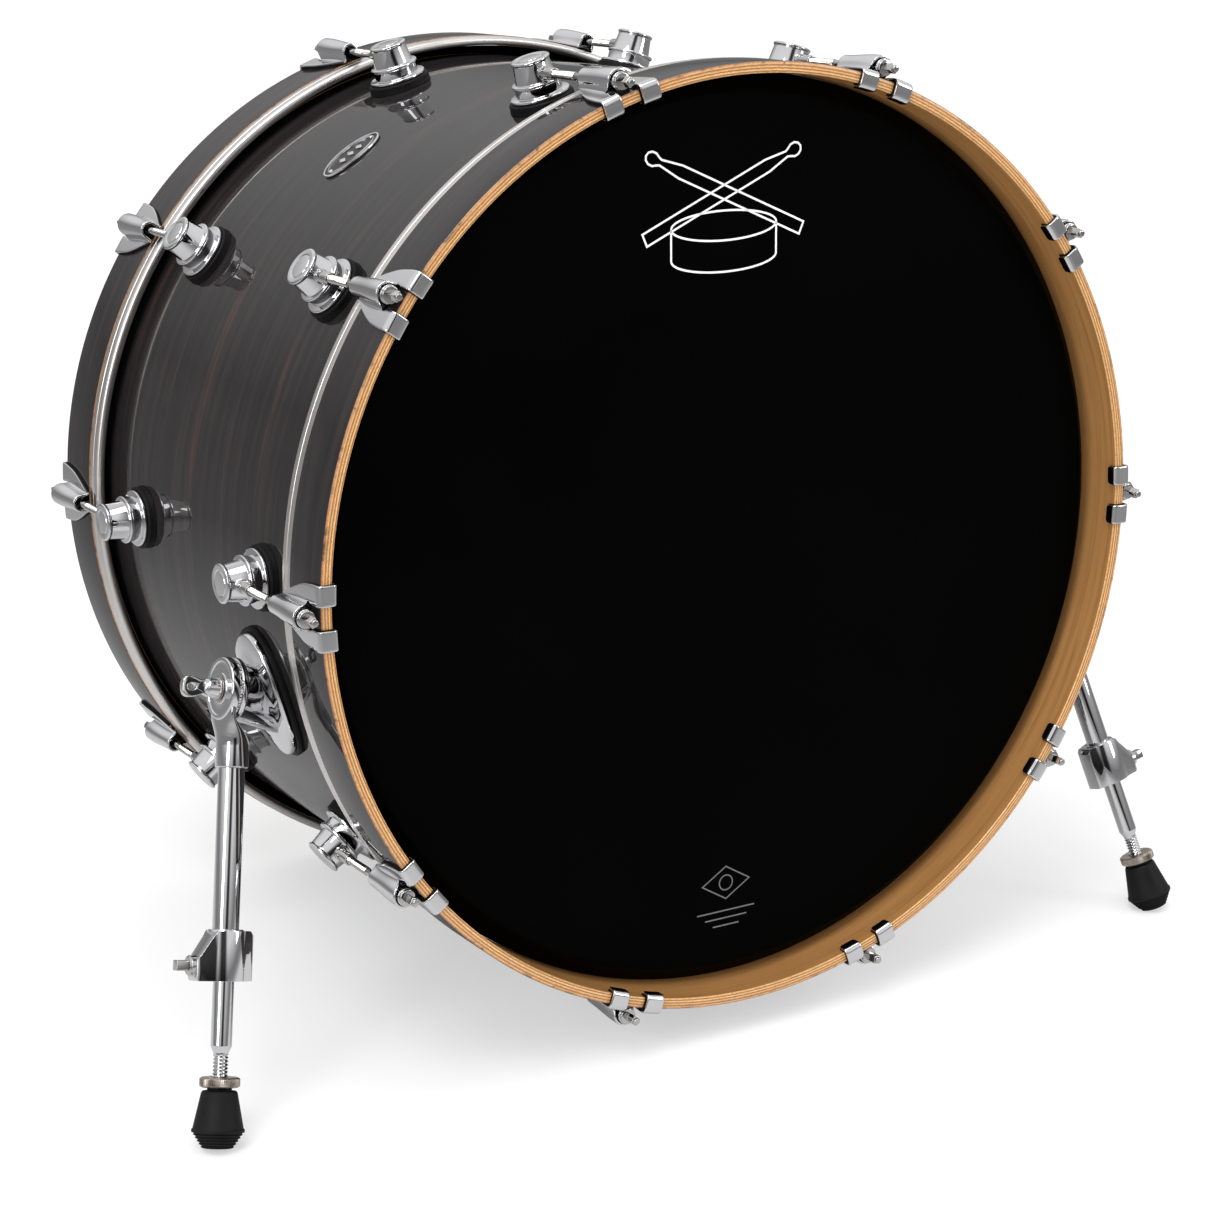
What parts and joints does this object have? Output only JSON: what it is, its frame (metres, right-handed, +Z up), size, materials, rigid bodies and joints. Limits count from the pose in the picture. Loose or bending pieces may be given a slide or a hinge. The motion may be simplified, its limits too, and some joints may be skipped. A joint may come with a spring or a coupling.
{
  "type": "bass drum",
  "caption": "Bass drum with a lacquered wooden shell, maple counterhoops held by claws and tension rods, a black head at each end, and two folding telescopic spurs.",
  "frame": {"origin": "on the floor, under the middle of the drum", "axes": "+X to the player's audience-side right, +Y from the front (resonant) head to the rear (batter) head, +Z up"},
  "size_m": [0.756, 0.451, 0.6167],
  "materials": {
    "shell_lacquer": "dark ebony stain under gloss lacquer",
    "hoop_maple": "maple ply, dark outside face, amber inside face and ply edge, gloss lacquer",
    "head_film": "black coated film with a satin aluminium flesh hoop",
    "lug_chrome": "polished chrome on a black rubber gasket",
    "claw_chrome": "polished chrome",
    "leg_chrome": "polished chrome",
    "nut_nickel": "knurled satin nickel",
    "foot_rubber": "moulded, matt",
    "badge_plate": "black enamel with a raised bright rim, left blank"
  },
  "bodies": {
    "shell_unit": {"shell": "shell_lacquer", "badge": "badge_plate", "front_lug_01": "lug_chrome", "front_lug_02": "lug_chrome", "front_lug_03": "lug_chrome", "front_lug_04": "lug_chrome", "front_lug_05": "lug_chrome", "front_lug_06": "lug_chrome", "front_lug_07": "lug_chrome", "front_lug_08": "lug_chrome", "front_lug_09": "lug_chrome", "front_lug_10": "lug_chrome", "rear_lug_01": "lug_chrome", "rear_lug_02": "lug_chrome", "rear_lug_03": "lug_chrome", "rear_lug_04": "lug_chrome", "rear_lug_05": "lug_chrome", "rear_lug_06": "lug_chrome", "rear_lug_07": "lug_chrome", "rear_lug_08": "lug_chrome", "rear_lug_09": "lug_chrome", "rear_lug_10": "lug_chrome", "left_leg_bracket": "leg_chrome", "right_leg_bracket": "leg_chrome"},
    "front_hoop_set": {"front_hoop": "hoop_maple", "front_head": "head_film", "front_claw_01": "claw_chrome", "front_claw_02": "claw_chrome", "front_claw_03": "claw_chrome", "front_claw_04": "claw_chrome", "front_claw_05": "claw_chrome", "front_claw_06": "claw_chrome", "front_claw_07": "claw_chrome", "front_claw_08": "claw_chrome", "front_claw_09": "claw_chrome", "front_claw_10": "claw_chrome"},
    "rear_hoop_set": {"rear_hoop": "hoop_maple", "rear_head": "head_film", "rear_claw_01": "claw_chrome", "rear_claw_02": "claw_chrome", "rear_claw_03": "claw_chrome", "rear_claw_04": "claw_chrome", "rear_claw_05": "claw_chrome", "rear_claw_06": "claw_chrome", "rear_claw_07": "claw_chrome", "rear_claw_08": "claw_chrome", "rear_claw_09": "claw_chrome", "rear_claw_10": "claw_chrome"},
    "left_leg": {"left_leg_tube": "leg_chrome", "left_leg_clamp": "leg_chrome"},
    "left_wing_bolt": {"left_wing_bolt": "leg_chrome"},
    "left_leg_rod": {"left_leg_rod": "leg_chrome"},
    "left_lock_nut": {"left_lock_nut": "nut_nickel"},
    "left_rubber_foot": {"left_rubber_foot": "foot_rubber"},
    "right_leg": {"right_leg_tube": "leg_chrome", "right_leg_clamp": "leg_chrome"},
    "right_wing_bolt": {"right_wing_bolt": "leg_chrome"},
    "right_leg_rod": {"right_leg_rod": "leg_chrome"},
    "right_lock_nut": {"right_lock_nut": "nut_nickel"},
    "right_rubber_foot": {"right_rubber_foot": "foot_rubber"}
  },
  "joints": [
    {"name": "front_hoop_loosen", "type": "slide", "parent": "shell_unit", "child": "front_hoop_set", "axis": [0, -0.9982, 0.0595], "range_m": [0, 0.01]},
    {"name": "rear_hoop_loosen", "type": "slide", "parent": "shell_unit", "child": "rear_hoop_set", "axis": [0, 0.9982, -0.0595], "range_m": [0, 0.01]},
    {"name": "left_leg_fold", "type": "hinge", "parent": "shell_unit", "child": "left_leg", "pos_m": [-0.3079, -0.10249, 0.24946], "axis": [0.9761, -0.0194, -0.2165], "range_deg": [-15, 90]},
    {"name": "left_wing_bolt_turn", "type": "hinge", "parent": "left_leg", "child": "left_wing_bolt", "pos_m": [-0.3079, -0.10249, 0.24946], "axis": [0.9761, -0.0194, -0.2165], "continuous": true},
    {"name": "left_leg_extend", "type": "slide", "parent": "left_leg", "child": "left_leg_rod", "axis": [-0.21, -0.3411, -0.9163], "range_m": [-0.045, 0.05]},
    {"name": "left_foot_adjust", "type": "slide", "parent": "left_leg_rod", "child": "left_rubber_foot", "axis": [0.21, 0.3411, 0.9163], "range_m": [0, 0.01]},
    {"name": "left_lock_nut_adjust", "type": "slide", "parent": "left_leg_rod", "child": "left_lock_nut", "axis": [0.21, 0.3411, 0.9163], "range_m": [0, 0.01]},
    {"name": "right_leg_fold", "type": "hinge", "parent": "shell_unit", "child": "right_leg", "pos_m": [0.3079, -0.10249, 0.24946], "axis": [0.9761, 0.0194, 0.2165], "range_deg": [-15, 90]},
    {"name": "right_wing_bolt_turn", "type": "hinge", "parent": "right_leg", "child": "right_wing_bolt", "pos_m": [0.3079, -0.10249, 0.24946], "axis": [0.9761, 0.0194, 0.2165], "continuous": true},
    {"name": "right_leg_extend", "type": "slide", "parent": "right_leg", "child": "right_leg_rod", "axis": [0.21, -0.3411, -0.9163], "range_m": [-0.045, 0.05]},
    {"name": "right_foot_adjust", "type": "slide", "parent": "right_leg_rod", "child": "right_rubber_foot", "axis": [-0.21, 0.3411, 0.9163], "range_m": [0, 0.01]},
    {"name": "right_lock_nut_adjust", "type": "slide", "parent": "right_leg_rod", "child": "right_lock_nut", "axis": [-0.21, 0.3411, 0.9163], "range_m": [0, 0.01]}
  ],
  "couplings": [
    {"joint": "left_lock_nut_adjust", "follows": "left_foot_adjust", "ratio": 1},
    {"joint": "right_lock_nut_adjust", "follows": "right_foot_adjust", "ratio": 1}
  ]
}
